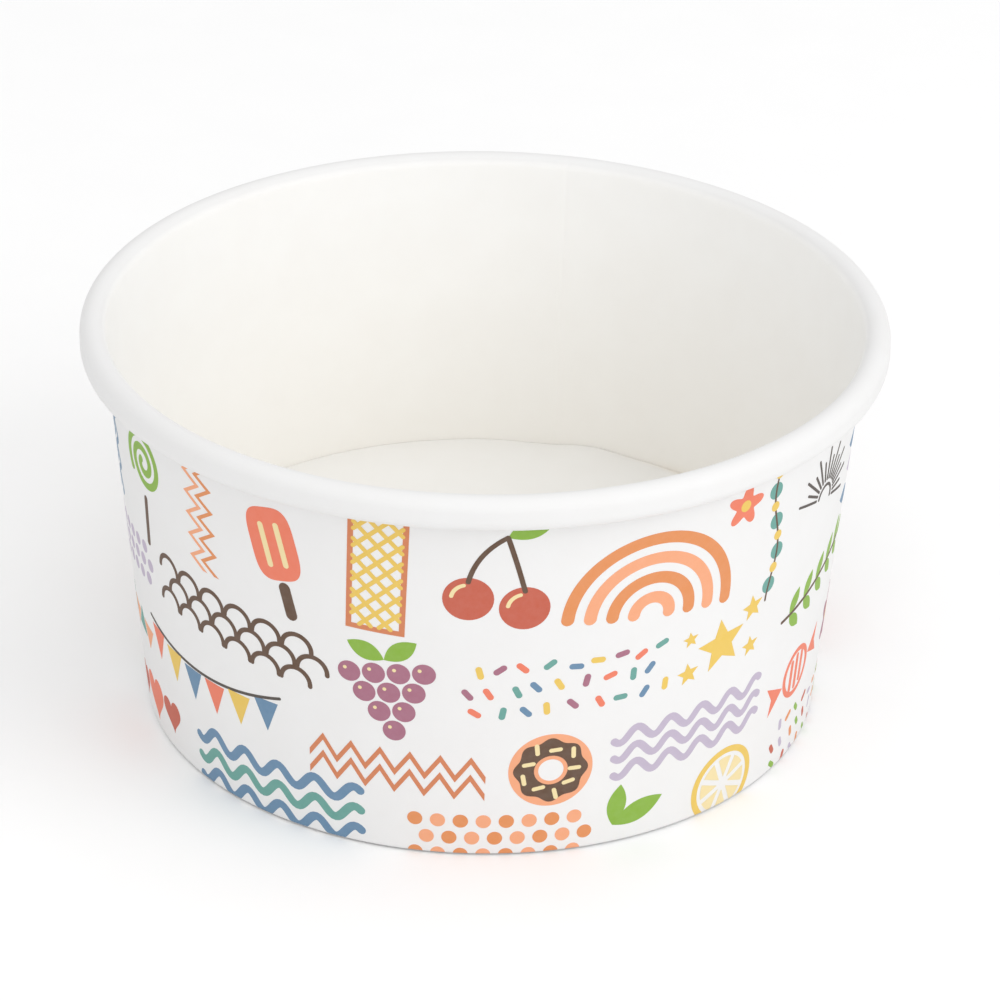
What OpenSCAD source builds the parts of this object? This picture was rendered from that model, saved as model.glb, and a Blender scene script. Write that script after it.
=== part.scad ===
// Paper ice cream cup. The side wall is one rolled board blank: lapped along the back, curled
// outwards at the top into a hollow rim, and folded inwards at the foot into a hem. The bottom is
// a second board disc, whose turned-down skirt sits in the hem.

/* [Cup] */
// Diameter over the rolled rim
rim_d = 96; // [90:0.5:104]
// Height from the foot to the top of the rim
cup_h = 50; // [36:0.5:80]
// Diameter of the side wall at the foot
foot_d = 82.2; // [74:0.2:86]

/* [Board] */
// Thickness of the side wall's board
wall_t = 0.36; // [0.28:0.02:0.46]
// Thickness of the bottom's board
bottom_t = 0.3; // [0.24:0.02:0.44]
// Glue line between the bottom's skirt and the boards round it
glue_gap = 0.03; // [0.02:0.01:0.08]

/* [Rolled rim] */
// Width of the roll
roll_w = 3.1; // [2.6:0.1:3.7]
// Height of the roll
roll_h = 4.1; // [3.8:0.1:5.4]
// Slit between the roll's tucked edge and the side wall
crease_gap = 0.3; // [0.15:0.05:0.45]
// Turn of the edge that is tucked up inside the roll, in degrees
tuck_turn = 160; // [90:5:190]

/* [Bottom and hem] */
// Height of the floor's upper face above the foot
floor_h = 11; // [10:0.5:16]
// Outer radius of the bend between the floor and its skirt
floor_bend_r = 0.7; // [0.5:0.05:1.2]
// Height of the hem that is folded up inside the foot
hem_h = 8; // [4:0.5:9]
// Width of the flat that the folded foot stands on
land_w = 0.5; // [0.3:0.05:0.7]

/* [Side seam] */
// Width of the lap, at the middle of the wall
lap_w = 5; // [3:0.5:9]
// Height that the lapped end stands out from the wall
lap_t = 0.28; // [0.1:0.02:0.36]
// Direction of the seam, in degrees from +X
seam_a = 90; // [0:5:355]

/* [Hidden] */
$fn = 96;

rim_r = rim_d / 2;
foot_r = foot_d / 2;
roll_r = roll_w / 2;

// The roll's section has two round ends, one above the other, and a straight band between them.
roll_top = [rim_r - roll_r, cup_h - roll_r];
band_h = roll_h - roll_w;

// The wall's outer face leaves the foot and is tangent to the inside of the roll's upper end.
reach = roll_top - [foot_r, 0];
lean = atan2(reach.x, reach.y) - asin((roll_r - wall_t) / norm(reach));
along_wall = [sin(lean), cos(lean)];

// The tucked edge turns up inside the roll, and clears the wall's outer face by the crease.
micron = 0.001;
tuck_room = (reach.x * cos(lean) - (cup_h - roll_h) * sin(lean) - crease_gap) / (1 + sin(lean));
tuck_r = floor(tuck_room / micron) * micron;

// Depths of the skirt and the hem inside the wall's outer face.
skirt_out = wall_t + glue_gap;
slot_w = bottom_t + 2 * glue_gap;
hem_in = 2 * wall_t + slot_w;

// The point at height z on the face that lies depth d inside the wall's outer face.
function wall_at(d, z) = [foot_r + z * tan(lean) - d / cos(lean), z];

// The foot is a round fold, pressed flat where it stands.
fold_r = hem_in / 2;
fold = wall_at(fold_r, sqrt(pow(fold_r, 2) - pow(land_w / 2, 2)));
wall_l = (roll_top - fold) * along_wall;
hem_l = (hem_h - fold.y) / cos(lean);
lap_l = (cup_h - roll_h - fold.y) / cos(lean);

// The bend at the floor's edge, and the skirt from there down into the fold.
bend = wall_at(skirt_out + floor_bend_r, floor_h - floor_bend_r);
skirt_l = (bend - fold) * along_wall - glue_gap;

// A bend between the leaning wall and an upright part is drawn in both frames, overlapping by this angle.
bend_lap = 30;

// A board of thickness t bent round the origin, with outer radius r, from angle a0 to angle a1.
module bent_board(r, t, a0, a1) {
    steps = 4;
    intersection() {
        difference() {
            circle(r);
            circle(r - t);
        }
        polygon([
            [0, 0],
            for (i = [0 : steps]) let (a = a0 + (a1 - a0) * i / steps) 2 * r * [cos(a), sin(a)],
        ]);
    }
}

// Places a section on the leaning wall: x = 0 on its outer face, and y up from the fold.
module on_wall() {
    translate(roll_top) rotate(-lean) translate([wall_t - roll_r, -wall_l]) children();
}

// The roll: over the top, down the straight band, under, and up again inside.
module roll_section() {
    translate(roll_top) {
        bent_board(roll_r, wall_t, 0, 90 + bend_lap);
        translate([0, -band_h]) {
            translate([roll_r - wall_t, 0]) square([wall_t, band_h]);
            bent_board(roll_r, wall_t, -90, 0);
            translate([0, tuck_r - roll_r])
                bent_board(tuck_r, wall_t, 270 - tuck_turn, 270);
        }
    }
}

// The wall up to the roll's first bend, and the fold and hem at its foot, cut flat where it stands.
module wall_section() {
    intersection() {
        on_wall() {
            translate([roll_r - wall_t, wall_l]) bent_board(roll_r, wall_t, 90, 180);
            translate([-wall_t, 0]) square([wall_t, wall_l]);
            translate([-fold_r, 0]) bent_board(fold_r, wall_t, 180, 360);
            translate([-hem_in, 0]) square([wall_t, hem_l]);
        }
        square([rim_d + foot_d, 2 * cup_h]);
    }
}

// The lapped end of the blank: a strip on the wall's outer face, from above the fold to the roll.
module seam_lap() {
    lap_a = 360 * lap_w / (2 * PI * wall_at(0, cup_h / 2).x);
    rotate(seam_a - lap_a / 2) rotate_extrude(angle = lap_a)
        on_wall() translate([-wall_t / 2, fold_r]) square([wall_t / 2 + lap_t, lap_l - fold_r]);
}

module side_wall() {
    color("white") {
        rotate_extrude() {
            wall_section();
            roll_section();
        }
        seam_lap();
    }
}

module bottom_disc() {
    color("whitesmoke") rotate_extrude() {
        translate([0, floor_h - bottom_t]) square([bend.x, bottom_t]);
        translate(bend) {
            bent_board(floor_bend_r, bottom_t, bend_lap, 90);
            rotate(-lean) {
                bent_board(floor_bend_r, bottom_t, 0, 90 - bend_lap);
                translate([floor_bend_r - bottom_t, -skirt_l]) square([bottom_t, skirt_l]);
            }
        }
    }
}

side_wall();
bottom_disc();
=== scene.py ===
# Paper ice cream cup: a printed paperboard wall with a rolled rim, and a glued-in paperboard bottom.
import bmesh
import bpy
import numpy as np
from mathutils import Matrix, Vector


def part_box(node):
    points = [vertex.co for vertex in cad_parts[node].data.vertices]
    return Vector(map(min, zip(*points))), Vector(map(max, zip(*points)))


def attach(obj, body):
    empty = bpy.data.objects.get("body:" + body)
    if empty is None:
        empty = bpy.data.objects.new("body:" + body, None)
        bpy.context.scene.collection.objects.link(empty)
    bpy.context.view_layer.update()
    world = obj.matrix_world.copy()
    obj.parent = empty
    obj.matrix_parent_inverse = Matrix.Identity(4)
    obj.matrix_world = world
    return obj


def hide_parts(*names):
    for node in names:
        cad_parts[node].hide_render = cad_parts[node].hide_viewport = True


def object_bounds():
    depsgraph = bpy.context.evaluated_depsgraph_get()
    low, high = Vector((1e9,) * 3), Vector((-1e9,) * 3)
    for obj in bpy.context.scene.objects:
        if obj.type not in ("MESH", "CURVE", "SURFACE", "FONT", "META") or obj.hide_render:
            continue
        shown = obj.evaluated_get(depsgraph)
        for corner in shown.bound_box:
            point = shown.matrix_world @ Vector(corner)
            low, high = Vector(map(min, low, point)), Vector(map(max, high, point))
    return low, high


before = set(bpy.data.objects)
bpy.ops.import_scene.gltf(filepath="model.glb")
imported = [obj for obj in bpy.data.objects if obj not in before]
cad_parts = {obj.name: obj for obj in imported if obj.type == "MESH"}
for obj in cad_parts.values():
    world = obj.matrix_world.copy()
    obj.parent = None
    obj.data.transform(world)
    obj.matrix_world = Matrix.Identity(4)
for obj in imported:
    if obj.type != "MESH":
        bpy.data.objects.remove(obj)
cadLow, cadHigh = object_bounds()
mm = 0.001
print("frame loaded:", sorted(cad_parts))

# The cup's sizes in millimetres. The rim and the height come from the frame.
cup = {
    "rimRadius": cadHigh[0] / mm,
    "height": cadHigh[2] / mm,
    "footRadius": 41.1,
    "wallThick": 0.36,
    "bottomThick": 0.3,
    "glueGap": 0.03,
    "rollWidth": 3.1,
    "rollHeight": 4.1,
    "creaseGap": 0.3,
    "tuckTurn": 160,
    "floorHeight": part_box("bottom_disc")[1][2] / mm,
    "floorBend": 0.16,
    "floorInnerBend": 0.06,
    "hemHeight": 8,
    "landWidth": 0.5,
    "ribCount": 100,
    "ribHeight": 0.09,
    "columns": 400,
}

# The lapped side seam at the back: the outer end steps down sharply, the other side slopes.
seam = {
    "angle": np.radians(90),
    "width": 5,
    "lift": 0.28,
    "stepWidth": 0.08,
    "slopeWidth": 1.4,
    "grooveDepth": 0.04,
    "grooveWidth": 0.3,
    "rollSwell": 0.1,
}

# The camera of the photograph, found from the cup's outline. The turn is about the cup's axis, from a
# place straight in front of it at -Y.
shot = {
    "turn": np.radians(16.3),
    "reach": 442.4,
    "height": 263.9,
    "pitch": np.radians(28.43),
    "yaw": np.radians(0.27),
    "roll": np.radians(0.97),
    "focalPixels": 4141,
    "imagePixels": 1000,
    "sensor": 36,
}
frontAngle = np.radians(-90) + shot["turn"]


# sRGB hex to the linear colour that the shaders take.
def linear(hexText):
    parts = np.array([int(hexText[i:i + 2], 16) for i in (1, 3, 5)]) / 255
    parts = np.where(parts <= 0.04045, parts / 12.92, ((parts + 0.055) / 1.055) ** 2.4)
    return (*parts.tolist(), 1.0)


# Adds a shader node, sets its properties and input values, and links its inputs.
def addNode(tree, kind, values=None, links=None, **settings):
    node = tree.nodes.new("ShaderNode" + kind)
    for key, value in settings.items():
        setattr(node, key, value)
    for key, value in (values or {}).items():
        node.inputs[key].default_value = value
    for key, source in (links or {}).items():
        tree.links.new(source, node.inputs[key])
    return node


# A new material with only its output, ready for a shader.
def newMaterial(name):
    material = bpy.data.materials.new(name)
    material.use_nodes = True
    material.node_tree.nodes.clear()
    return material, material.node_tree


# A number for each vertex, for the material to read.
def addAttribute(piece, name, values):
    attribute = piece.data.attributes.new(name, "FLOAT", "POINT")
    attribute.data.foreach_set("value", values)


# Points on a circle about (x, z), between two angles in degrees.
def arc(centre, radius, start, end, count):
    angle = np.radians(np.linspace(start, end, count))
    return np.stack([centre[0] + radius * np.cos(angle), centre[1] + radius * np.sin(angle)], 1)


# Points on a straight line between two points.
def line(start, end, count):
    t = np.linspace(0, 1, count)[:, None]
    return np.asarray(start) * (1 - t) + np.asarray(end) * t


# Quads of a grid of rows by columns, wrapped round in either direction where asked.
def gridQuads(rows, columns, wrapRows=False, wrapColumns=False):
    r = np.arange(rows if wrapRows else rows - 1)[:, None]
    c = np.arange(columns if wrapColumns else columns - 1)[None, :]
    r2 = (r + 1) % rows
    c2 = (c + 1) % columns
    quads = np.stack([r * columns + c, r * columns + c2, r2 * columns + c2, r2 * columns + c], -1)
    return quads.reshape(-1, 4)


# A mesh object from points in millimetres, smooth except across edges sharper than 40 degrees.
def addPiece(name, points, faces, material):
    mesh = bpy.data.meshes.new(name)
    mesh.from_pydata((np.asarray(points) * mm).tolist(), [], faces)
    mesh.polygons.foreach_set("use_smooth", np.ones(len(mesh.polygons), bool))
    mesh.set_sharp_from_angle(angle=np.radians(40))
    mesh.materials.append(material)
    piece = bpy.data.objects.new(name, mesh)
    bpy.context.scene.collection.objects.link(piece)
    return piece


# The wall's section, worked out as the cup is made: the outer face leaves the foot and is tangent
# to the inside of the roll's top; every other face lies at a depth inside it.
rollRadius = cup["rollWidth"] / 2
rollTop = np.array([cup["rimRadius"] - rollRadius, cup["height"] - rollRadius])
rollLow = rollTop - [0, cup["rollHeight"] - cup["rollWidth"]]
reach = rollTop - [cup["footRadius"], 0]
lean = np.arctan2(*reach) - np.arcsin((rollRadius - cup["wallThick"]) / np.hypot(*reach))
creaseHeight = cup["height"] - cup["rollHeight"]
tuckRoom = reach[0] * np.cos(lean) - creaseHeight * np.sin(lean) - cup["creaseGap"]
tuckRadius = tuckRoom / (1 + np.sin(lean))
tuck = rollLow + [0, tuckRadius - rollRadius]
slotWidth = cup["bottomThick"] + 2 * cup["glueGap"]
hemDepth = 2 * cup["wallThick"] + slotWidth
foldRadius = hemDepth / 2
leanDegrees = np.degrees(lean)


# Radius of the face that lies a depth inside the wall's outer face, at a height.
def wallRadius(depth, height):
    return cup["footRadius"] + height * np.tan(lean) - depth / np.cos(lean)


def wallAt(depth, height):
    return np.array([wallRadius(depth, height), height])


foldHeight = np.sqrt(foldRadius ** 2 - (cup["landWidth"] / 2) ** 2)
fold = wallAt(foldRadius, foldHeight)
middleRadius = wallRadius(0, cup["height"] / 2)


# Slow unevenness of the rolled board, in millimetres: three waves round the cup that fade at the foot.
def unevenness(angle, height):
    waves = np.sin(3 * angle + 0.6) + 0.7 * np.sin(7 * angle + 2.1) + 0.4 * np.sin(13 * angle + 4.0)
    return 0.02 * waves * np.clip(height / cup["height"], 0, 1)


# Distance round the wall from the seam's middle line, in millimetres.
def fromSeam(angle):
    turn = (angle - seam["angle"] + np.pi) % (2 * np.pi) - np.pi
    return turn * middleRadius


# How far the lap stands out of the wall: a sharp step at one side and a slope at the other.
def lapLift(angle):
    across = fromSeam(angle)
    half = seam["width"] / 2
    step = np.clip((across + half) / seam["stepWidth"], 0, 1)
    slope = np.clip((half - across) / seam["slopeWidth"] + 0.5, 0, 1)
    return seam["lift"] * step * slope * slope * (3 - 2 * slope)


# Angles of the extra columns over the seam: both sides of its step, and close together on its slope.
def seamAngles():
    half = seam["width"] / 2
    across = np.append([-half, -half + seam["stepWidth"]], half + np.linspace(-0.9, 0.9, 19))
    return seam["angle"] + across / middleRadius


# Angles of the grid's columns: even all round, and the seam's own.
def columnAngles():
    even = np.linspace(0, 2 * np.pi, cup["columns"], endpoint=False)
    return np.unique(np.concatenate([even, seamAngles()]).round(7))


# The bottom's edge: beside the seam it is pushed up a little on one side and down on the other, and its
# corner with the wall is tinted at one place with a warm painted shade.
bottom = {
    "rise": 0.42,
    "riseAngle": np.radians(86),
    "dip": 0.2,
    "dipAngle": np.radians(97),
    "spread": np.radians(5),
    "crown": 0.15,
    "paintedShade": 0.3,
    "paintedShadeWidth": 0.9,
    "paintedShadeAngle": np.radians(60),
    "paintedShadeSpread": np.radians(12),
}


# How strongly the corner between floor and wall is tinted with painted shade: a bell curve about one
# place.
def cornerShadeAt(angle):
    return bottom["paintedShade"] * np.exp(-((angle - bottom["paintedShadeAngle"]) / bottom["paintedShadeSpread"]) ** 2)


# The side wall is a closed section carried round the axis: the inside face from the hem's edge up the
# slot and the wall and over the roll, then the printed face back down, under the foot and up the hem.
def buildSideWall(material):
    thick = cup["wallThick"]
    hemTop = cup["hemHeight"]
    tuckEnd = 270 - cup["tuckTurn"]
    rollStart = rollTop + rollRadius * np.array([-np.cos(lean), np.sin(lean)])
    insideFace = [
        line(wallAt(hemDepth - thick, hemTop), wallAt(hemDepth - thick, foldHeight + 0.3), 8),
        arc(fold, foldRadius - thick, 180 - leanDegrees, 360 - leanDegrees, 9),
        line(wallAt(thick, foldHeight + 0.3), wallAt(thick, cup["floorHeight"] - 1), 8),
        line(wallAt(thick, cup["floorHeight"] - 0.6), wallAt(thick, cup["floorHeight"] + 1.2), 7),
        line(wallAt(thick, cup["floorHeight"] + 2), rollStart, 24),
        arc(rollTop, rollRadius, 180 - leanDegrees, 0, 25)[1:],
        line(rollTop + [rollRadius, 0], rollLow + [rollRadius, 0], 4)[1:-1],
        arc(rollLow, rollRadius, 0, -90, 14),
        arc(tuck, tuckRadius, 270, tuckEnd, 20)[1:],
    ]
    printFace = [
        arc(tuck, tuckRadius - thick, tuckEnd, 270, 14),
        arc(rollLow, rollRadius - thick, -90, 0, 8)[1:],
        arc(rollTop, rollRadius - thick, 0, 180 - leanDegrees, 14),
    ]
    wallFace = line(wallAt(0, creaseHeight + 1.6), wallAt(0, foldHeight + 0.6), 30)
    footFace = [
        arc(fold, foldRadius, 360 - leanDegrees, 180 - leanDegrees, 19),
        line(wallAt(hemDepth, foldHeight + 0.4), wallAt(hemDepth, hemTop), 10),
    ]
    profile = np.concatenate(insideFace + printFace + [wallFace] + footFace)
    profile[:, 1] = np.maximum(profile[:, 1], 0)
    insideCount = sum(map(len, insideFace))
    wallStart = insideCount + sum(map(len, printFace))
    order = np.arange(len(profile))
    isInside = (order < insideCount).astype(float)
    isWall = (order >= wallStart) & (order < wallStart + len(wallFace))

    # Moves along the radius: the unevenness, the lap outside, a groove inside and a swelling of the roll,
    # both shaped like a bell across the seam, and the hem's pressed ribs, a sine round the cup.
    angle = columnAngles()[:, None]
    radius, height = profile[:, 0][None, :], profile[:, 1][None, :]
    lapEnds = np.clip((creaseHeight + 0.2 - height) / 0.4, 0, 1)
    lapEnds *= np.clip((height - foldHeight) / 0.5, 0, 1)
    shift = unevenness(angle, height) + isWall * lapEnds * lapLift(angle)
    across = fromSeam(angle) - seam["width"] / 2
    groove = seam["grooveDepth"] * np.exp(-(across / seam["grooveWidth"]) ** 2)
    shift += isInside * groove * np.clip(height - cup["floorHeight"] + 1, 0, 1)
    swell = seam["rollSwell"] * np.exp(-(fromSeam(angle) / 2.2) ** 4)
    swell = swell * np.clip((radius - rollTop[0]) / rollRadius, 0, 1)
    shift += isInside * swell * (height > creaseHeight)
    isHem = order >= len(profile) - len(footFace[1])
    ribEnds = np.clip((hemTop - height) / 0.8, 0, 1) * np.clip((height - 1) / 0.8, 0, 1)
    shift += isHem * ribEnds * cup["ribHeight"] * np.sin(cup["ribCount"] * angle)
    radius = radius + shift
    points = np.stack([radius * np.cos(angle), radius * np.sin(angle), height + 0 * angle], -1)
    rows, columns = points.shape[:2]
    points = points.reshape(-1, 3)
    quads = gridQuads(rows, columns, True, True)
    piece = addPiece("side_wall_board", points, quads.tolist(), material)

    # What the material reads: 0 on the roll, a quarter outside, a half to three quarters down the bowl,
    # where the lower tone is painted shade, and a little more in the corner, where a warm painted shade is
    # laid.
    bowl = isInside * np.clip((rollTop[0] - profile[:, 0]) / rollRadius, 0, 1) ** 2
    paintedShade = isInside * np.exp(-np.abs(profile[:, 1] - cup["floorHeight"]) / bottom["paintedShadeWidth"])
    lower = np.clip((creaseHeight - profile[:, 1]) / (creaseHeight - cup["floorHeight"]), 0, 1)
    face = (bowl * (2 + lower) + 1 - isInside + 0.6 * paintedShade * cornerShadeAt(angle)) / 4
    addAttribute(piece, "boardFace", face.ravel())
    return piece


# How far the floor is moved up: a bell-shaped rise and dip that grow with the sixth power of the radius,
# and a crown that falls off with its square. All of it fades down the skirt to the hem.
def floorShift(angle, radius, height):
    rise = bottom["rise"] * np.exp(-((angle - bottom["riseAngle"]) / bottom["spread"]) ** 2)
    dip = bottom["dip"] * np.exp(-((angle - bottom["dipAngle"]) / bottom["spread"]) ** 2)
    edge = np.clip(radius / wallRadius(0, cup["floorHeight"]), 0, 1) ** 6
    free = np.clip((height - cup["hemHeight"] - 0.4) / (cup["floorHeight"] - cup["hemHeight"] - 0.4), 0, 1)
    crown = bottom["crown"] * (1 - np.clip(radius / middleRadius, 0, 1) ** 2)
    return (rise - dip) * edge * free + crown * free


# The bottom is a closed section too: floor, bend and skirt, carried round with a point at each pole.
def buildBottom(material):
    thick, floorHeight = cup["bottomThick"], cup["floorHeight"]
    outer, inner = cup["floorBend"], cup["floorInnerBend"]
    skirtDepth = cup["wallThick"] + cup["glueGap"]
    bend = wallAt(skirtDepth + outer, floorHeight - outer)
    innerBend = wallAt(skirtDepth + thick + inner, floorHeight - thick - inner)
    skirtEnd = foldHeight + 0.05
    upper = [
        line([0.4, floorHeight], [bend[0] - bottom["paintedShadeWidth"], floorHeight], 36),
        arc(bend, outer, 90, -leanDegrees, 9),
        line(wallAt(skirtDepth, floorHeight - 0.5), wallAt(skirtDepth, skirtEnd), 9),
    ]
    lower = [
        line(wallAt(skirtDepth + thick, skirtEnd), wallAt(skirtDepth + thick, floorHeight - 0.8), 9),
        arc(innerBend, inner, -leanDegrees, 90, 5),
        line([innerBend[0] - 0.5, floorHeight - thick], [0.4, floorHeight - thick], 36),
    ]
    profile = np.concatenate(upper + lower)
    angle = np.linspace(0, 2 * np.pi, 360, endpoint=False)[:, None]
    radius, height = profile[:, 0][None, :], profile[:, 1][None, :]
    height = height + floorShift(angle, radius, height)
    radius = radius + unevenness(angle, height) * (radius > 30)
    points = np.stack([radius * np.cos(angle), radius * np.sin(angle), height], -1)
    rows, columns = points.shape[:2]
    points = points.reshape(-1, 3)
    poles = np.array([[0, 0, points[0, 2]], [0, 0, points[columns - 1, 2]]])
    quads = gridQuads(rows, columns, True, False)
    ring = np.arange(rows) * columns
    nextRing = np.roll(ring, -1)
    top = np.stack([np.full(rows, rows * columns), ring, nextRing], 1)
    base = np.stack([np.full(rows, rows * columns + 1), nextRing + columns - 1, ring + columns - 1], 1)
    faces = quads.tolist() + top.tolist() + base.tolist()
    piece = addPiece("bottom_board", np.concatenate([points, poles]), faces, material)
    # The floor's ring next to the corner takes the same warm painted shade, fading inwards.
    edge = np.clip((profile[:, 0] - bend[0]) / bottom["paintedShadeWidth"] + 1, 0, 1)
    edge *= np.arange(len(profile)) < sum(map(len, upper))
    addAttribute(piece, "boardFace", np.append((cornerShadeAt(angle) * edge).ravel(), [0, 0]))
    return piece


# Cup board: white paperboard with a clay coat outside and a thin plastic coat inside. Bright and satin;
# the roll is the same coated face as the bowl but is toned a little greyer as painted shade, and the bowl
# is darker and warmer low down, also painted shade. A cloudy formation a few millimetres across tints it,
# and a fine fibre tooth breaks up its sheen.
board = {
    # Painted shade: the roll is toned greyer than the bowl's same coat.
    "roll": "#E7E7E7",
    "outside": "#E9E9E9",
    "bowlHigh": "#F9F9F8",
    # Painted shade: darker and warmer low in the bowl.
    "bowlShadedLow": "#F7F5F0",
    "floor": "#ECEBE8",
    # The corner's warm tan is painted shade where floor and wall meet.
    "corner": "#E2C9A0",
    "cloud": "#FCFBFA",
    "cloudSize": 6,
    "fibreSize": 0.4,
    "fibreHeight": 0.006,
    "roughness": (0.42, 0.56),
}


def makeBoard(name, tones):
    material, tree = newMaterial(name)
    place = addNode(tree, "TexCoord")
    cloudLook = {"Scale": 1 / (board["cloudSize"] * mm), "Detail": 2.0, "Roughness": 0.6}
    cloud = addNode(tree, "TexNoise", cloudLook, {"Vector": place.outputs["Object"]})
    fibreLook = {"Scale": 1 / (board["fibreSize"] * mm), "Detail": 2.0, "Roughness": 0.65}
    fibre = addNode(tree, "TexNoise", fibreLook, {"Vector": place.outputs["Object"]})
    face = addNode(tree, "Attribute", attribute_name="boardFace")
    tone = addNode(tree, "ValToRGB", None, {"Fac": face.outputs["Fac"]})
    for i, hexText in enumerate(tones):
        stop = tone.color_ramp.elements[i] if i < 2 else tone.color_ramp.elements.new(1)
        stop.position = i / (len(tones) - 1)
        stop.color = linear(hexText)
    colour = addNode(tree, "Mix", {7: linear(board["cloud"])},
                     {0: cloud.outputs["Fac"], 6: tone.outputs["Color"]},
                     data_type="RGBA", blend_type="MULTIPLY")
    rough = addNode(tree, "MapRange", {"To Min": board["roughness"][0], "To Max": board["roughness"][1]},
                    {"Value": fibre.outputs["Fac"]})
    tooth = addNode(tree, "Bump", {"Strength": 0.5, "Distance": board["fibreHeight"] * mm},
                    {"Height": fibre.outputs["Fac"]})
    shader = addNode(tree, "BsdfPrincipled", {"IOR": 1.5, "Specular IOR Level": 0.2},
                     {"Base Color": colour.outputs[2], "Roughness": rough.outputs["Result"],
                      "Normal": tooth.outputs["Normal"]})
    addNode(tree, "OutputMaterial", None, {"Surface": shader.outputs["BSDF"]})
    return material


wallTones = [board[key] for key in ("roll", "outside", "bowlHigh", "bowlShadedLow", "corner")]
wallMaterial = makeBoard("coatedCupBoard", wallTones)
bottomMaterial = makeBoard("coatedBottomBoard", (board["floor"], board["corner"]))

sideWall = buildSideWall(wallMaterial)
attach(sideWall, "root")
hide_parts("side_wall")
print("side wall:", len(sideWall.data.polygons), "faces")

bottomDisc = buildBottom(bottomMaterial)
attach(bottomDisc, "root")
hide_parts("bottom_disc")
print("bottom:", len(bottomDisc.data.polygons), "faces")

# The print is thin ink films on the wall, one piece for each ink. Shapes are drawn flat in millimetres,
# along the wall from the front (to the right) and up from the foot, and then laid on the cone. Above the
# end of the fold's round, the lap grows to its full height at lapFoot.
ink = {
    "lift": 0.012,
    "layerLift": 0.0016,
    "sheetLift": 0.0004,
    "film": 0.03,
    "spacing": 0.32,
    "lowEdge": 0.14,
    "highEdge": 46.6,
    "roundCuts": (0.2, 0.3),
    "roundEnd": 0.43,
    "lapFoot": 1.08,
    "mottleSize": 0.9,
}

# The inks in the order of printing, so that later ones lie on earlier ones.
inkColours = {
    "lavender": "#BAAEC2",
    "blue": "#6084A3",
    "teal": "#619C92",
    "green": "#82AC33",
    "peach": "#EBA177",
    "orange": "#DB8A50",
    "coral": "#E5775A",
    "red": "#BE5840",
    "plum": "#A1667B",
    "terracotta": "#CC7A4E",
    "brown": "#5A3F2A",
    "grey": "#483F38",
    "yellow": "#E3BF55",
    "cream": "#EAD7A2",
}
inkSheets = {name: [] for name in inkColours}
pen = {"x": 0, "y": 0, "turn": 0, "size": 1}


# Turns flat points anticlockwise by an angle in degrees.
def turned(points, degrees):
    turn = np.radians(degrees)
    spin = np.array([[np.cos(turn), np.sin(turn)], [-np.sin(turn), np.cos(turn)]])
    return np.asarray(points, float) @ spin


# Takes points from a motif's own place to the wall's flat pattern, by the pen's size, turn and place.
def fromPen(points):
    return pen["size"] * turned(points, pen["turn"]) + [pen["x"], pen["y"]]


# Points at even spacing along a path.
def evenly(path, closed):
    if closed:
        path = np.concatenate([path, path[:1]])
    length = np.concatenate([[0], np.cumsum(np.hypot(*np.diff(path, axis=0).T))])
    count = max(int(length[-1] / ink["spacing"]), 8)
    at = np.linspace(0, length[-1], count + 1)
    return np.stack([np.interp(at, length, path[:, i]) for i in (0, 1)], 1)[:-1 if closed else None]


# Adds flat faces to an ink's sheets, turned over where they would face into the wall.
def addSheet(colour, points, quads, fan=()):
    ax, ay = (points[quads[:, 2]] - points[quads[:, 0]]).T
    bx, by = (points[quads[:, 3]] - points[quads[:, 1]]).T
    way = 1 if (ax * by - ay * bx).sum() > 0 else -1
    inkSheets[colour].append((points, [face[::way] for face in [*quads.tolist(), *fan]]))


# The area between two edges that have the same number of points.
def ribbon(colour, left, right, closed=False):
    across = np.array([0, 0.5, 1])[None, :, None]
    points = np.asarray(left)[:, None] * (1 - across) + np.asarray(right)[:, None] * across
    addSheet(colour, fromPen(points.reshape(-1, 2)), gridQuads(len(left), 3, closed, False))


# A pen stroke: a ribbon of even width along a path, whose half width closes in a half circle at each end.
def stroke(colour, path, width, closed=False):
    path = evenly(np.asarray(path, float), closed)
    along = np.roll(path, -1, 0) - np.roll(path, 1, 0) if closed else np.gradient(path, axis=0)
    along /= np.linalg.norm(along, axis=1)[:, None]
    half = np.full((len(path), 1), width / 2)
    if not closed:
        capTurn = np.radians([85, 60, 35, 15])[:, None]
        reach = width / 2 * np.sin(capTurn)
        narrow = width / 2 * np.cos(capTurn)
        path = np.concatenate([path[:1] - along[:1] * reach, path, path[-1:] + along[-1:] * reach[::-1]])
        half = np.concatenate([narrow, half, narrow[::-1]])
        along = np.concatenate([along[:1].repeat(4, 0), along, along[-1:].repeat(4, 0)])
    normal = np.stack([-along[:, 1], along[:, 0]], 1)
    ribbon(colour, path + normal * half, path - normal * half, closed)


# A filled shape: its edge drawn in towards its middle in a few rings, with a fan at the centre.
def fill(colour, edge, rings=4):
    edge = fromPen(edge)
    middle = edge.mean(0)
    scale = np.linspace(1, 0, rings, endpoint=False)[:, None, None]
    points = middle + (edge[None] - middle) * scale
    count = len(edge)
    quads = gridQuads(rings, count, False, True)
    last = (rings - 1) * count + np.arange(count)
    fan = np.stack([last, np.roll(last, -1), np.full(count, rings * count)], 1)
    addSheet(colour, np.concatenate([points.reshape(-1, 2), middle[None]]), quads, fan.tolist())


def circle(x, y, radius, count=36):
    turn = np.linspace(0, 2 * np.pi, count, endpoint=False)
    return np.stack([x + radius * np.cos(turn), y + radius * np.sin(turn)], 1)


# Corners joined by straight edges, with points along each edge.
def straightEdges(corners, perEdge=8, closed=True):
    corners = np.asarray(corners, float)
    path = np.concatenate([line(a, b, perEdge + 1)[:-1] for a, b in zip(corners, np.roll(corners, -1, 0))])
    return path if closed else np.concatenate([path[:-perEdge], corners[-1:]])


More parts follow.
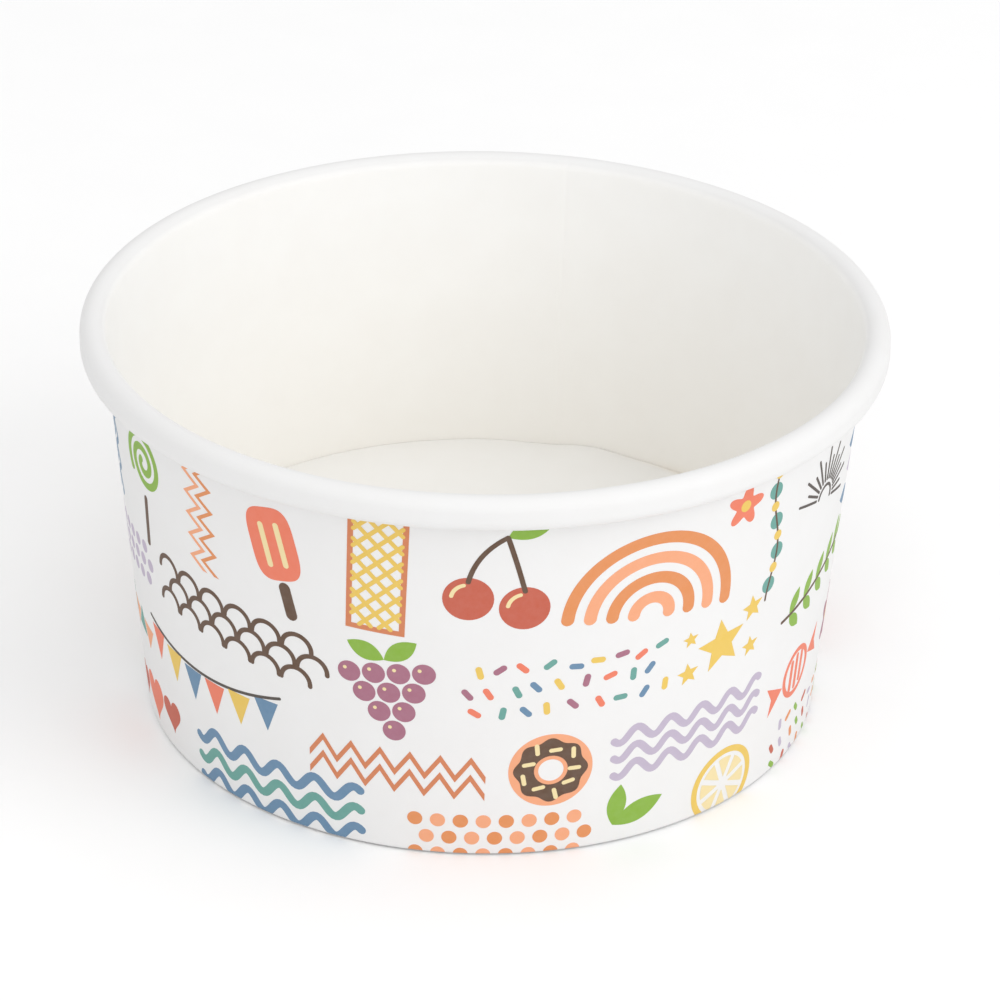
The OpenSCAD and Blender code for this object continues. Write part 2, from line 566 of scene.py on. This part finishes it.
# Places in a row about the middle, one pitch apart.
def spaced(count, pitch):
    return (np.arange(count) - (count - 1) / 2) * pitch


# Rows of a sine wave.
def waves(colours, length=24, rows=3, height=1.0, wave=5.0, gap=2.7, width=1.1):
    x = np.linspace(-length / 2, length / 2, 160)
    for row, y in enumerate(spaced(rows, gap)):
        curve = np.stack([x, y + height * np.sin(2 * np.pi * x / wave)], 1)
        stroke(colours[row % len(colours)], curve, width)


# Rows of dots, every other row set half a pitch along.
def dots(colours, columns=8, rows=3, pitch=2.9, radius=0.98):
    for row, y in enumerate(spaced(rows, pitch * 0.87)):
        for column, x in enumerate(spaced(columns, pitch)):
            dot = circle(x + pitch / 2 * (row % 2), y, radius, 24)
            fill(colours[(row + column) % len(colours)], dot, 2)


# Zigzag bands, one above the other, of even height so that the corners are mitred.
def zigzag(colours, teeth=6, pitch=4, height=1.5, rows=2, gap=2.7, width=1.1):
    corner = np.arange(2 * teeth + 1)
    x = (corner - teeth) * pitch / 2
    for row, y in enumerate(spaced(rows, gap)):
        path = straightEdges(np.stack([x, y + np.where(corner % 2, height, -height)], 1), 8, False)
        ribbon(colours[row % len(colours)], path + [0, width / 2], path - [0, width / 2])


# Rows of half circles, set like roof tiles.
def scallops(colours, count=6, radius=2.3, rows=3, width=0.65):
    for row, y in enumerate(spaced(rows, -radius * 1.1)):
        for x in spaced(count, 2 * radius):
            curve = arc((x + radius * (row % 2), y), radius * 0.92, 180, 0, 30)
            stroke(colours[row % len(colours)], curve, width)


# A lollipop: a spiral, on a stick.
def lollipop(colours, radius=4.4, turns=2.6, stick=7.5):
    t = np.linspace(0.16, 1, 200)
    spin = 2 * np.pi * turns * t
    stroke(colours[0], np.stack([radius * t * np.cos(spin), radius * t * np.sin(spin)], 1), 1.0)
    stroke(colours[1], line((0, -radius - 0.9), (0, -radius - stick), 20), 0.85)


# A five-pointed star with small ones beside it.
def stars(colours, radius=3.6):
    point = np.arange(10)
    turn = np.radians(90 + 36 * point)
    star = np.where(point % 2, 0.45, 1.0)[:, None] * np.stack([np.cos(turn), np.sin(turn)], 1)
    places = ((0, 0, 1.0), (5.0, 2.6, 0.48), (4.6, -2.8, 0.38), (-5.0, -1.8, 0.42), (-4.4, 2.9, 0.3))
    for x, y, size in places:
        fill(colours[0], straightEdges(star * radius * size + [x, y], 6))


# A row of hearts, the middle one larger.
def hearts(colours, size=0.21, sizes=(0.7, 1.0, 0.75), pitch=6.2):
    t = np.linspace(0, 2 * np.pi, 60, endpoint=False)
    y = 13 * np.cos(t) - 5 * np.cos(2 * t) - 2 * np.cos(3 * t) - np.cos(4 * t)
    heart = np.stack([16 * np.sin(t) ** 3, y + 2.5], 1) * size
    for i, x in enumerate(spaced(len(sizes), pitch)):
        fill(colours[i % len(colours)], heart * sizes[i] + [x, 0])


# A pointed leaf: two parabolas that meet at the tips, drawn from its foot along an angle.
def leaf(colour, foot, degrees, length, width):
    t = np.linspace(0, 1, 20)
    side = width / 2 * 4 * t * (1 - t)
    edge = np.concatenate([np.stack([t * length, side], 1), np.stack([t * length, -side], 1)[-2:0:-1]])
    fill(colour, turned(edge, degrees) + foot)


# A sprig: a curved stem with leaves on both sides.
def sprig(colours, length=20, leaves=5):
    x = np.linspace(-length / 2, length / 2, 80)
    stroke(colours[1], np.stack([x, 1.2 * np.sin(x / length * 2.4)], 1), 0.5)
    for at in spaced(leaves, length / leaves):
        foot = [at, 1.2 * np.sin(at / length * 2.4)]
        leaf(colours[0], foot, 55, 4.2, 2.0)
        leaf(colours[0], foot, -50, 4.0, 1.9)
    leaf(colours[0], [length / 2, 1.2 * np.sin(1.2)], 10, 4.2, 2.0)


# Two leaves from one foot.
def leafPair(colours):
    leaf(colours[0], [-3, -1], 22, 7.5, 3.0)
    leaf(colours[0], [-3, -1], 82, 6, 2.6)


# A pair of cherries on their stems, with a leaf and a glint on each.
def cherries(colours, radius=2.7):
    top = np.array([1.2, 6.6])
    t = np.linspace(0, 1, 40)[:, None]
    for x, y in ((-2.8, -1.2), (3.1, -2.4)):
        fill(colours[0], circle(x, y, radius))
        stroke(colours[3], arc((x, y), radius * 0.66, 105, 170, 12), 0.45)
        start, pull = np.array([x, y + radius * 0.8]), np.array([x * 0.7, y + radius + 3.2])
        stroke(colours[1], (1 - t) ** 2 * start + 2 * t * (1 - t) * pull + t ** 2 * top, 0.55)
    leaf(colours[2], top, 24, 5.4, 2.5)


# A slice of citrus: a rind and eight wedges.
def citrus(colours, radius=4.7, wedges=8):
    stroke(colours[0], circle(0, 0, radius, 90), 0.85, True)
    half = 0.74 * 180 / wedges
    for turn in np.arange(wedges) * 360 / wedges:
        outer = arc((0, 0), radius * 0.79, turn - half, turn + half, 10)
        tip = turned([radius * 0.2, 0], turn)
        sides = [line(outer[-1], tip, 8)[1:], line(tip, outer[0], 8)[1:-1]]
        fill(colours[1], np.concatenate([outer, *sides]), 3)


# A wafer: a frame with a lattice of slanting lines in it.
def wafer(colours, width=17, height=7.2, pitch=2.4, frameWidth=0.7, latticeWidth=0.55):
    w, h = width / 2, height / 2
    rim = np.array([(-w, -h), (w, -h), (w, h), (-w, h)])
    inset = rim - frameWidth * np.sign(rim)
    ribbon(colours[0], straightEdges(rim, 24), straightEdges(inset, 24), True)
    w, h = w - frameWidth, h - frameWidth
    for c in np.arange(-w - h + pitch, w + h, pitch):
        low, high = max(-w, c - h), min(w, c + h)
        if high - low > 1:
            stroke(colours[1], line((low, c - low), (high, c - high), 16), latticeWidth)
            stroke(colours[1], line((low, low - c), (high, high - c), 16), latticeWidth)


# Sprinkles: short strokes scattered over a block, one to a cell, in rows set a quarter pitch either way.
def sprinkles(colours, columns=9, rows=3, pitch=2.9, length=1.05, width=0.8, seed=3):
    draw = np.random.default_rng(seed)
    for row, y in enumerate(spaced(rows, pitch)):
        for column, x in enumerate(spaced(columns, pitch) + pitch * (0.25 - 0.5 * (row % 2))):
            middle = [x, y] + draw.uniform(-0.5, 0.5, 2)
            half = turned([length / 2, 0], draw.uniform(0, 180))
            colour = colours[(row * columns + column) * 7 % len(colours)]
            stroke(colour, line(middle - half, middle + half, 8), width)


# An ice pop: a bar with round corners on a stick, and two grooves.
def icePop(colours, width=5.8, height=9, stick=4.2):
    t = np.linspace(0, 2 * np.pi, 72, endpoint=False)
    x = width / 2 * np.sign(np.cos(t)) * np.abs(np.cos(t)) ** 0.55
    y = height / 2 * np.sign(np.sin(t)) * np.abs(np.sin(t)) ** 0.55
    fill(colours[0], np.stack([x, y], 1), 6)
    for side in (-1, 1):
        stroke(colours[2], line((side, -height * 0.28), (side, height * 0.26), 16), 0.7)
    stroke(colours[1], line((0, -height / 2 - 0.9), (0, -height / 2 - stick), 12), 1.4)


# A flower with five round petals and a dot at its heart.
def flower(colours, radius=3.9):
    t = np.linspace(0, 2 * np.pi, 90, endpoint=False)
    r = radius * (0.76 + 0.24 * np.cos(5 * t))
    fill(colours[0], np.stack([r * np.cos(t), r * np.sin(t)], 1), 5)
    fill(colours[1], circle(0, 0, radius * 0.27, 24), 2)


# A row of drops, high and low by turns.
def drops(colours, count=5, pitch=4.2, height=2.5, width=1.9):
    t = np.linspace(0, 2 * np.pi, 44, endpoint=False)
    drop = np.stack([width * np.sin(t) * np.sin(t / 2) ** 1.3, height * np.cos(t)], 1)
    for i, x in enumerate(spaced(count, pitch)):
        fill(colours[i % len(colours)], drop + [x, 0.9 * (-1) ** i])


# Bunting: flags hung from a sagging string.
def bunting(colours, count=6, pitch=5, sag=2.2):
    x = np.linspace(-0.5, 0.5, 60) * count * pitch
    stroke(colours[0], np.stack([x, 3 + sag * (2 * x / (count * pitch)) ** 2], 1), 0.45)
    for i, at in enumerate(spaced(count, pitch)):
        top = 2.6 + sag * (2 * at / (count * pitch)) ** 2
        flag = [(at - 2.1, top), (at, top - 5), (at + 2.1, top)]
        fill(colours[1 + i % (len(colours) - 1)], straightEdges(flag, 10))


# Beads, large and small by turns, on a wavy string.
def beads(colours, count=9, pitch=2.7, radii=(1.35, 0.8)):
    x = np.linspace(-0.55, 0.55, 90) * count * pitch
    stroke(colours[0], np.stack([x, 0.8 * np.sin(x / pitch * 0.9)], 1), 0.35)
    for i, at in enumerate(spaced(count, pitch)):
        bead = circle(at, 0.8 * np.sin(at / pitch * 0.9), radii[i % 2], 28)
        fill(colours[1 + i % (len(colours) - 1)], bead, 3)


# Half a sunburst in fine lines, longer and shorter by turns.
def sunburst(colours, rays=15, inner=2.6, outer=7):
    stroke(colours[0], arc((0, 0), inner - 0.8, 0, 180, 30), 0.4)
    for i, turn in enumerate(np.linspace(0, 180, rays)):
        long = outer if i % 2 == 0 else outer * 0.78
        stroke(colours[0], turned(line((inner, 0), (long, 0), 14), turn), 0.36)


# A rainbow of half circles.
def rainbow(colours, radius=10, gap=2.6, width=1.5):
    for i, colour in enumerate(colours):
        stroke(colour, arc((0, -radius / 2), radius - i * gap, 0, 180, 90), width)


# Triangles, point up and point down by turns.
def triangles(colours, count=6, side=4.2):
    shape = np.array([(-0.5, -0.29), (0.5, -0.29), (0, 0.58)]) * side
    for i, x in enumerate(spaced(count, side * 0.78)):
        fill(colours[i % len(colours)], straightEdges(shape * [1, (-1) ** i] + [x, 0], 10))


# A bunch of berries under two leaves, with a glint on each.
def berries(colours, radius=1.4):
    for row, count in enumerate((4, 3, 2, 1)):
        for x in spaced(count, radius * 2.15):
            y = 2.4 - row * radius * 1.9
            fill(colours[0], circle(x, y, radius, 28), 3)
            fill(colours[2], circle(x - 0.45, y + 0.5, 0.24, 12), 2)
    for degrees in (30, 150):
        leaf(colours[1], [0, 4.3], degrees, 4.8, 2.4)


# A wrapped sweet: a striped ball between two fans of paper.
def sweet(colours, radius=3.1):
    stroke(colours[0], circle(0, 0, radius, 60), 0.7, True)
    for x in (-1.35, 0, 1.35):
        half = np.sqrt(radius ** 2 - x ** 2) * 0.7
        stroke(colours[0], line((x - 0.4, -half), (x + 0.4, half), 14), 0.7)
    for side in (-1, 1):
        fan = np.array([(radius + 0.5, 0), (radius + 3.8, 2.2), (radius + 3.0, 0), (radius + 3.8, -2.2)])
        fill(colours[0], straightEdges(fan * [side, 1], 7))


# A ring doughnut: icing with a wavy edge over the dough, and sprinkles.
def doughnut(colours, radius=4.6):
    t = np.linspace(0, 2 * np.pi, 90, endpoint=False)
    ring = np.stack([np.cos(t), np.sin(t)], 1)
    ribbon(colours[0], ring * radius, ring * radius * 0.3, True)
    icing = radius * (0.84 + 0.05 * np.cos(8 * t))[:, None]
    ribbon(colours[1], ring * icing, ring * radius * 0.4, True)
    for i, turn in enumerate(np.arange(9) * 40):
        middle = turned([radius * (0.56 + 0.12 * (i % 2)), 0], turn)
        half = turned([0.5, 0], turn * 2.3)
        stroke(colours[2], line(middle - half, middle + half, 6), 0.5)


# The pattern round half of the cup, which is printed twice: motif, inks, place, turn in degrees, size.
layout = [
    (waves, ["blue"], -60, 39, 84, 0.74),
    (lollipop, ["green", "brown"], -46.5, 40, -6, 0.95),
    (zigzag, ["orange", "peach"], -35, 39.5, 90, 0.72),
    (icePop, ["coral", "brown", "cream"], -24, 38.8, 12, 1.05),
    (wafer, ["terracotta", "yellow"], -11.5, 38.2, 87, 0.95),
    (cherries, ["red", "brown", "green", "cream"], 1.5, 37, 0, 1.05),
    (rainbow, ["orange", "peach", "orange", "peach"], 20, 36.5, -5, 1.0),
    (flower, ["coral", "yellow"], 31.3, 42.2, 10, 0.7),
    (beads, ["brown", "teal", "yellow"], 37, 38, 92, 0.8),
    (sunburst, ["grey"], 48, 36, -14, 0.95),
    (drops, ["blue", "lavender"], 60, 38, 82, 0.85),
    (dots, ["lavender"], -58, 24.5, 4, 0.84),
    (scallops, ["brown"], -32.5, 24, -5, 0.92),
    (berries, ["plum", "green", "cream"], -10.5, 22.3, 6, 0.98),
    (sprinkles, ["coral", "yellow", "teal", "plum", "blue"], 10, 23.5, 2, 0.95),
    (stars, ["yellow"], 30, 24, 8, 1.0),
    (sprig, ["green", "brown"], 49.5, 24, 6, 0.85),
    (triangles, ["teal", "peach"], -60, 14, -4, 0.9),
    (bunting, ["grey", "coral", "yellow", "blue"], -37.5, 13, 0, 0.86),
    (zigzag, ["terracotta"], -10, 11.2, -2, 0.9),
    (doughnut, ["peach", "brown", "cream"], 8.5, 11.8, 0, 1.1),
    (waves, ["lavender"], 27, 13, 2, 0.9),
    (sweet, ["coral"], 47.2, 12.5, 12, 1.0),
    (flower, ["plum", "yellow"], 61, 13.5, 0, 1.0),
    (hearts, ["red", "coral"], -53, 4.2, 6, 1.0),
    (waves, ["blue", "teal"], -27, 4.0, 0, 1.05),
    (dots, ["orange", "peach"], 2, 2.4, 0, 0.95),
    (leafPair, ["green"], 19.5, 3.5, 0, 0.95),
    (citrus, ["yellow", "cream"], 33, 3.2, 0, 1.0),
    (sprinkles, ["green", "orange", "lavender", "red"], 54, 3.2, -3, 0.9),
]


# Draws the whole pattern, once for each half of the cup.
def drawPattern(copies=2):
    tile = 2 * np.pi * middleRadius / copies
    for copy in range(copies):
        for motif, colours, x, y, turn, size in layout:
            pen.update(x=x + copy * tile, y=y, turn=turn, size=size)
            motif(colours)


# Joins an ink's sheets to one flat film, with neighbours a hair apart in depth where they cross. It is
# cut off straight at the foot and under the roll, and is cut through near the foot and along the seam's
# columns, so that it can follow the fold's round and the lap's step.
def trimFilm(mesh, sheets):
    counts = [len(points) for points, _ in sheets]
    starts = np.cumsum([0] + counts)
    depth = np.repeat(np.arange(len(sheets)) % 4 * ink["sheetLift"], counts)
    points = np.column_stack([np.concatenate([points for points, _ in sheets]), depth])
    faces = [[start + i for i in face] for start, (_, group) in zip(starts, sheets) for face in group]
    mesh.from_pydata(points.tolist(), [], faces)
    cuts = [((0, ink["lowEdge"], 0), (0, -1, 0)), ((0, ink["highEdge"], 0), (0, 1, 0))]
    footCuts = (*ink["roundCuts"], ink["roundEnd"], ink["lapFoot"])
    cuts += [((0, height, 0), (0, 1, 0)) for height in footCuts]
    cuts += [((along, 0, 0), (1, 0, 0)) for along in (seamAngles() - frontAngle) * middleRadius]
    film = bmesh.new()
    film.from_mesh(mesh)
    for i, (point, normal) in enumerate(cuts):
        parts = film.verts[:] + film.edges[:] + film.faces[:]
        bmesh.ops.bisect_plane(film, geom=parts, plane_co=point, plane_no=normal, clear_outer=i < 2)
    film.to_mesh(mesh)
    film.free()


# Radius of the printed face at a height: the leaning wall, and below it the round of the fold.
def printRadius(height):
    drop = np.clip(foldHeight - height, 0, foldRadius)
    foldFace = fold[0] + np.sqrt(foldRadius ** 2 - drop ** 2)
    return np.where(drop > foldRadius * np.sin(lean), foldFace, wallRadius(0, height))


# Lays a flat film on the wall: along becomes the angle round the axis, up becomes the height, and the
# radius is the wall's own there with its unevenness, the lap and the ink's lift.
def layOnWall(mesh, lift):
    flat = np.zeros(len(mesh.vertices) * 3)
    mesh.vertices.foreach_get("co", flat)
    along, height, depth = flat.reshape(-1, 3).T
    angle = frontAngle + along / middleRadius
    lap = lapLift(angle) * np.clip((creaseHeight + 0.2 - height) / 0.4, 0, 1)
    lap *= np.clip((height - ink["roundEnd"]) / (ink["lapFoot"] - ink["roundEnd"]), 0, 1)
    radius = printRadius(height) + unevenness(angle, height) + lap + lift + depth
    points = np.stack([radius * np.cos(angle), radius * np.sin(angle), height], 1)
    mesh.vertices.foreach_set("co", (points * mm).ravel())
    mesh.polygons.foreach_set("use_smooth", np.ones(len(mesh.polygons), bool))


# Process ink on coated board: an even, slightly chalky colour a little less shiny than the bare board,
# with a faint mottle where the board's fibres take the ink unevenly.
def makeInk(name, hexText):
    material, tree = newMaterial("printInk" + name.capitalize())
    place = addNode(tree, "TexCoord")
    mottleLook = {"Scale": 1 / (ink["mottleSize"] * mm), "Detail": 2.0, "Roughness": 0.6}
    mottle = addNode(tree, "TexNoise", mottleLook, {"Vector": place.outputs["Object"]})
    colour = np.array(linear(hexText))
    paler = tuple((colour * 0.94 + 0.06).tolist())
    tint = addNode(tree, "Mix", {6: linear(hexText), 7: paler}, {0: mottle.outputs["Fac"]},
                   data_type="RGBA")
    rough = addNode(tree, "MapRange", {"To Min": 0.48, "To Max": 0.62}, {"Value": mottle.outputs["Fac"]})
    shader = addNode(tree, "BsdfPrincipled", {"IOR": 1.5, "Specular IOR Level": 0.3},
                     {"Base Color": tint.outputs[2], "Roughness": rough.outputs["Result"]})
    addNode(tree, "OutputMaterial", None, {"Surface": shader.outputs["BSDF"]})
    return material


# Marks a film's open edge as sharp, so that its thickness doesn't round its shading.
def sharpenRim(mesh):
    edges = np.zeros(len(mesh.loops), int)
    mesh.loops.foreach_get("edge_index", edges)
    uses = np.bincount(edges, minlength=len(mesh.edges))
    mesh.edges.foreach_set("use_edge_sharp", uses == 1)


drawPattern()
for layer, (name, hexText) in enumerate(inkColours.items()):
    film = addPiece("ink_" + name, [], [], makeInk(name, hexText))
    trimFilm(film.data, inkSheets[name])
    layOnWall(film.data, ink["lift"] + layer * ink["layerLift"])
    sharpenRim(film.data)
    solid = film.modifiers.new("film", "SOLIDIFY")
    solid.thickness = ink["film"] * mm
    solid.offset = -1
    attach(film, "root")
    print("ink", name, len(film.data.polygons), "faces")

# Floor: plain white studio paper, with a grain too faint to read as a pattern.
floor = {"size": 3, "drop": 0.0002, "colour": "#FBFBFB", "grain": "#F9F9F9", "grainSize": 12}


def buildFloor():
    half = floor["size"] / 2
    mesh = bpy.data.meshes.new("studio_floor")
    corners = [(-half, -half), (half, -half), (half, half), (-half, half)]
    mesh.from_pydata([(x, y, -floor["drop"]) for x, y in corners], [], [(0, 1, 2, 3)])
    material, tree = newMaterial("studioPaper")
    place = addNode(tree, "TexCoord")
    grain = addNode(tree, "TexNoise", {"Scale": 1 / (floor["grainSize"] * mm), "Detail": 1.0},
                    {"Vector": place.outputs["Object"]})
    tint = addNode(tree, "Mix", {6: linear(floor["colour"]), 7: linear(floor["grain"])},
                   {0: grain.outputs["Fac"]}, data_type="RGBA")
    shader = addNode(tree, "BsdfPrincipled", {"Roughness": 0.9, "Specular IOR Level": 0.1},
                     {"Base Color": tint.outputs[2]})
    addNode(tree, "OutputMaterial", None, {"Surface": shader.outputs["BSDF"]})
    mesh.materials.append(material)
    ground = bpy.data.objects.new("studio_floor", mesh)
    bpy.context.scene.collection.objects.link(ground)


buildFloor()

# Light: a white room, a soft box from the right, a weaker one in front and a wide one overhead.
# Turns are from the camera's side, to the right; distances and sizes in metres.
lights = {
    "keyBox": {"turn": 60, "rise": 35, "distance": 1.1, "size": 0.7, "power": 2.5},
    "frontBox": {"turn": 0, "rise": 25, "distance": 1.2, "size": 1.0, "power": 1.9},
    "topBox": {"turn": 10, "rise": 82, "distance": 1.3, "size": 1.4, "power": 3.3},
}
roomLight = 0.78


def buildLights():
    for name, box in lights.items():
        turn = frontAngle + np.radians(box["turn"])
        rise = np.radians(box["rise"])
        away = np.array([np.cos(turn) * np.cos(rise), np.sin(turn) * np.cos(rise), np.sin(rise)])
        lamp = bpy.data.lights.new(name, "AREA")
        lamp.shape = "DISK"
        lamp.size = box["size"]
        lamp.energy = box["power"]
        side = np.cross([0, 0, 1], away)
        side /= np.linalg.norm(side)
        rows = np.stack([side, np.cross(away, side), away, away * box["distance"]], 1)
        holder = bpy.data.objects.new(name, lamp)
        holder.matrix_world = Matrix(rows.tolist() + [[0, 0, 0, 1]])
        bpy.context.scene.collection.objects.link(holder)
    world = bpy.data.worlds.new("whiteRoom")
    world.use_nodes = True
    world.node_tree.nodes["Background"].inputs["Color"].default_value = (1, 1, 1, 1)
    world.node_tree.nodes["Background"].inputs["Strength"].default_value = roomLight
    bpy.context.scene.world = world


buildLights()
bpy.context.scene.view_settings.view_transform = "Standard"


# The camera looks along a direction set by yaw and pitch, is rolled about it, and the whole is turned.
def buildCamera():
    yaw, pitch, roll = shot["yaw"], shot["pitch"], shot["roll"]
    forward = np.array([np.sin(yaw) * np.cos(pitch), np.cos(yaw) * np.cos(pitch), -np.sin(pitch)])
    level = np.array([np.cos(yaw), -np.sin(yaw), 0])
    up = np.cross(level, forward)
    right = np.cos(roll) * level + np.sin(roll) * up
    up = np.cross(right, forward)
    spot = np.array([0, -shot["reach"], shot["height"]]) * mm
    rows = np.stack([right, up, -forward, spot], 1)
    lens = bpy.data.cameras.new("photoCamera")
    lens.sensor_width = shot["sensor"]
    lens.lens = shot["focalPixels"] * shot["sensor"] / shot["imagePixels"]
    lens.clip_start = 0.01
    camera = bpy.data.objects.new("photoCamera", lens)
    camera.matrix_world = Matrix.Rotation(shot["turn"], 4, "Z") @ Matrix(rows.tolist() + [[0, 0, 0, 1]])
    bpy.context.scene.collection.objects.link(camera)
    bpy.context.scene.camera = camera


buildCamera()
print("floor, lights and camera placed")
